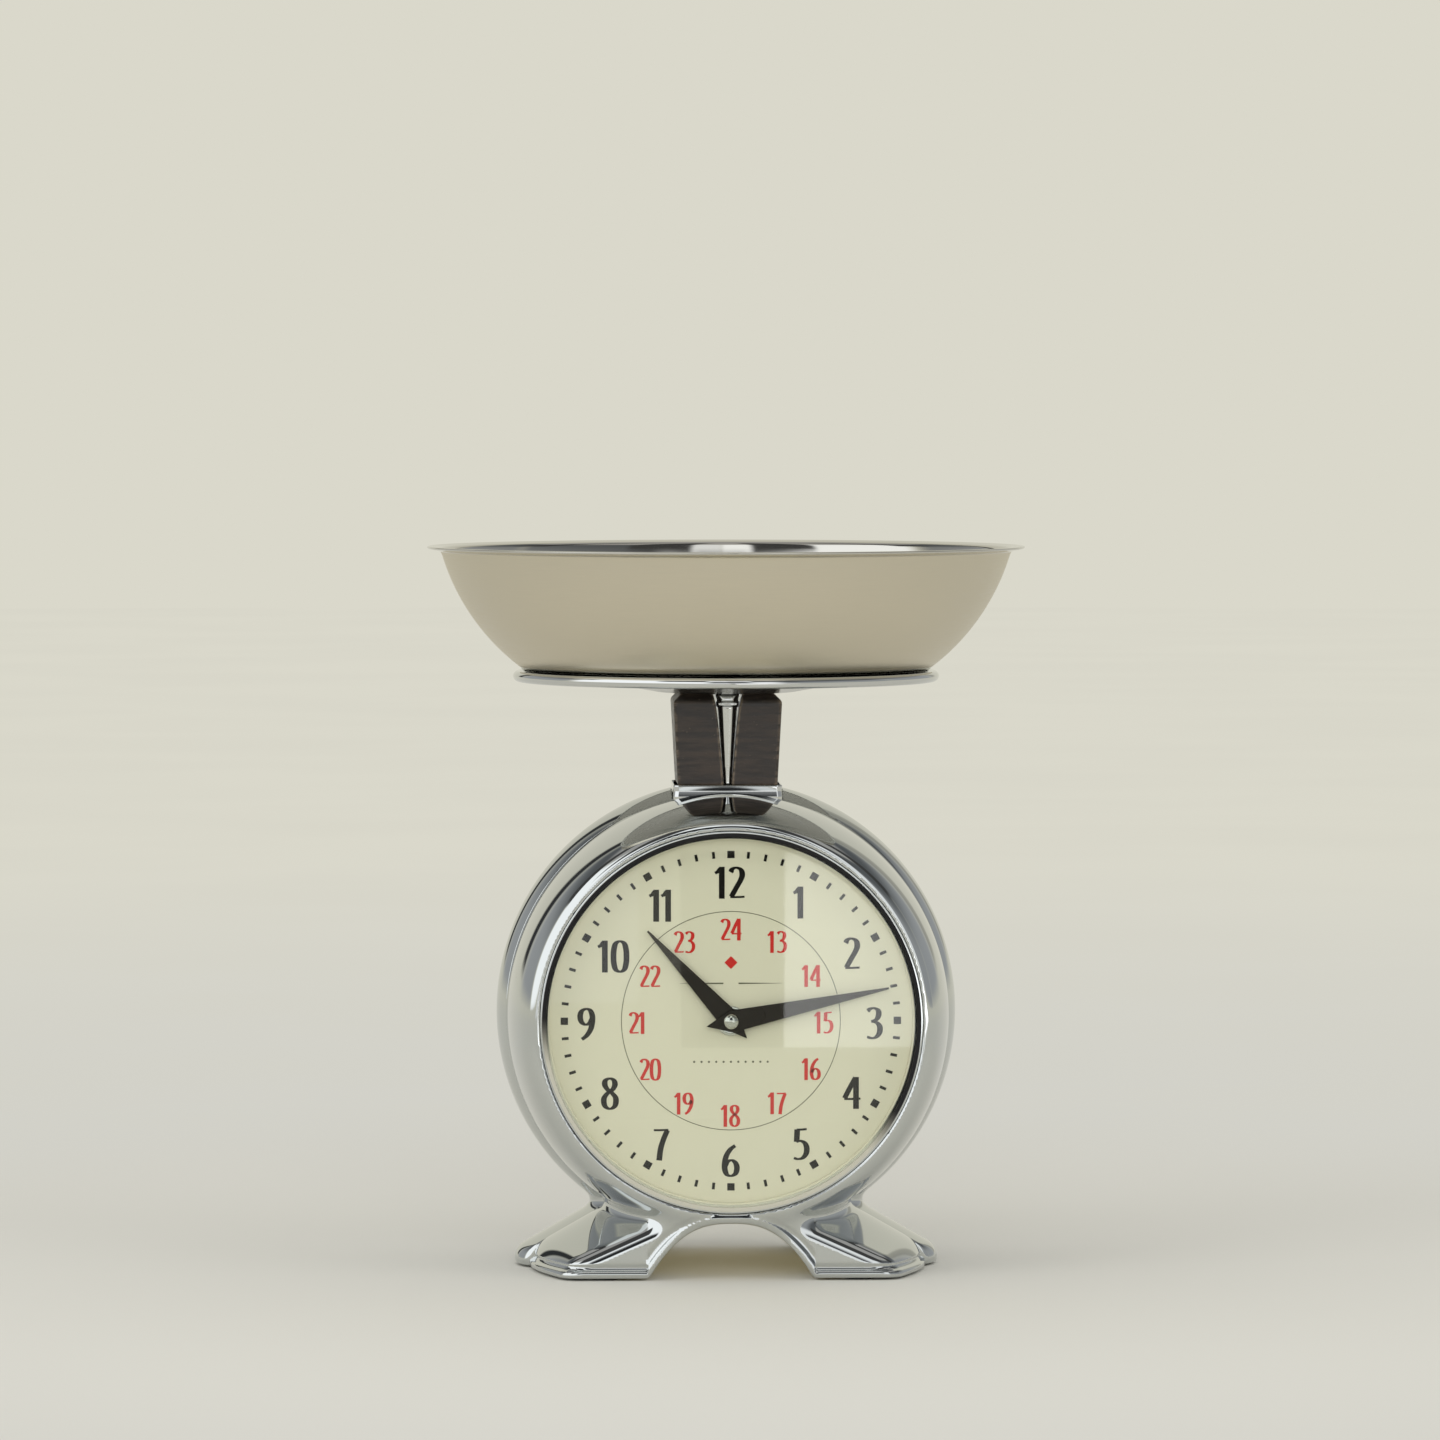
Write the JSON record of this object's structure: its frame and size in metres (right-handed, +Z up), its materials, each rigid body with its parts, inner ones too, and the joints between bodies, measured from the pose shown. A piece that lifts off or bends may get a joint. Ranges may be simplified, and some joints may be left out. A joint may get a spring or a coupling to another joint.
{
  "type": "kitchen scale",
  "caption": "Double-faced kitchen scale: clock on the front, weighing dial behind, chromed round housing on an arched base, steel bowl on a sprung platform.",
  "frame": {"origin": "on the floor, under the housing's axis, at the centre of the footprint", "axes": "+Z up, the clock faces -Y, +X to the right seen from the clock side"},
  "size_m": [0.2396, 0.2396, 0.288],
  "materials": {
    "chrome_band": "polished chrome plate",
    "chrome_shell": "polished chrome plate",
    "chrome_trim": "polished chrome plate",
    "plate_steel": "satin stainless with a bright edge",
    "bowl_steel": "satin stainless outside, bright rim",
    "frame_steel": "zinc plated",
    "spring_steel": "spring wire",
    "screw_steel": "zinc plated",
    "brass": "machined",
    "cheek_bakelite": "satin dark brown moulding",
    "movement_plastic": "moulded",
    "knob_plastic": "moulded",
    "battery_sleeve": "plain sleeve",
    "dial_cream": "cream enamel with black and red print",
    "hand_paint": "semi-gloss black brown",
    "pointer_paint": "semi-gloss red",
    "gasket_rubber": "black seal",
    "pad_rubber": "black pad",
    "dial_glass": "flat clear glass with a ground edge"
  },
  "bodies": {
    "housing": {"centre_band": "chrome_band", "front_shell": "chrome_shell", "rear_shell": "chrome_shell", "collar": "chrome_trim", "foot_pads": "pad_rubber", "case_screws": "screw_steel", "front_gasket": "gasket_rubber", "front_glass": "dial_glass", "front_dial_ring": "dial_cream", "clock_dial": "dial_cream", "clock_movement": "movement_plastic", "battery": "battery_sleeve", "clock_nut": "chrome_trim", "rear_gasket": "gasket_rubber", "rear_glass": "dial_glass", "rear_dial_ring": "dial_cream", "weight_dial": "dial_cream", "arbor_bush": "brass", "front_plate": "frame_steel", "rear_plate": "frame_steel", "plate_pillars": "frame_steel", "plate_screws": "screw_steel", "lever_studs": "frame_steel"},
    "platform": {"carriage": "frame_steel", "carriage_pins": "frame_steel", "rack": "brass", "neck_core": "chrome_trim", "core_screws": "screw_steel", "left_cheek": "cheek_bakelite", "right_cheek": "cheek_bakelite", "platform_plate": "plate_steel", "platform_screws": "screw_steel"},
    "bowl": {"bowl": "bowl_steel"},
    "pointer": {"weight_pointer": "pointer_paint", "pointer_arbor": "brass"},
    "upper_lever": {"upper_lever": "frame_steel"},
    "lower_lever": {"lower_lever": "frame_steel"},
    "minute_hand": {"minute_arbor": "brass", "minute_hand": "hand_paint", "hand_nut": "chrome_trim"},
    "hour_hand": {"hour_pipe": "brass", "hour_hand": "hand_paint"},
    "set_knob": {"set_knob": "knob_plastic"},
    "zero_knob": {"zero_screw": "screw_steel", "zero_knob": "cheek_bakelite"},
    "spring_anchor": {"spring_anchor": "frame_steel", "left_spring": "spring_steel", "right_spring": "spring_steel"}
  },
  "joints": [
    {"name": "platform_slide", "type": "slide", "parent": "housing", "child": "platform", "axis": [0, 0, 1], "range_m": [-0.01, 0], "stiffness_N_per_m": 4905, "springref_m": 0.004, "deforming": ["left_spring", "right_spring"]},
    {"name": "bowl_lift", "type": "slide", "parent": "platform", "child": "bowl", "axis": [0, 0, 1], "range_m": [0, 0.1]},
    {"name": "pointer_turn", "type": "hinge", "parent": "housing", "child": "pointer", "pos_m": [0, 0.03, 0.102], "axis": [0, 1, 0], "range_deg": [-287, 0]},
    {"name": "upper_lever_turn", "type": "hinge", "parent": "housing", "child": "upper_lever", "pos_m": [-0.045, -0.0125, 0.14], "axis": [0, 1, 0], "range_deg": [0, 12.8]},
    {"name": "lower_lever_turn", "type": "hinge", "parent": "housing", "child": "lower_lever", "pos_m": [-0.045, -0.0125, 0.064], "axis": [0, 1, 0], "range_deg": [0, 12.8]},
    {"name": "minute_turn", "type": "hinge", "parent": "housing", "child": "minute_hand", "pos_m": [0, -0.058, 0.102], "axis": [0, 1, 0], "continuous": true},
    {"name": "hour_turn", "type": "hinge", "parent": "housing", "child": "hour_hand", "pos_m": [0, -0.058, 0.102], "axis": [0, 1, 0], "continuous": true},
    {"name": "set_knob_turn", "type": "hinge", "parent": "housing", "child": "set_knob", "pos_m": [0.012, -0.038, 0.114], "axis": [0, 1, 0], "continuous": true},
    {"name": "zero_turn", "type": "hinge", "parent": "housing", "child": "zero_knob", "pos_m": [0, 0.035, 0.19], "axis": [0, 0, 1], "range_deg": [-360, 360]},
    {"name": "anchor_slide", "type": "slide", "parent": "housing", "child": "spring_anchor", "axis": [0, 0, 1], "range_m": [-0.0007, 0.0007]}
  ],
  "couplings": [
    {"joint": "pointer_turn", "follows": "platform_slide", "rad_per_m": 500},
    {"joint": "upper_lever_turn", "follows": "platform_slide", "rad_per_m": -22.222},
    {"joint": "lower_lever_turn", "follows": "platform_slide", "rad_per_m": -22.222},
    {"joint": "hour_turn", "follows": "minute_turn", "ratio": 0.083333},
    {"joint": "set_knob_turn", "follows": "minute_turn", "ratio": -1},
    {"joint": "zero_turn", "follows": "anchor_slide", "rad_per_m": -8975.9}
  ]
}
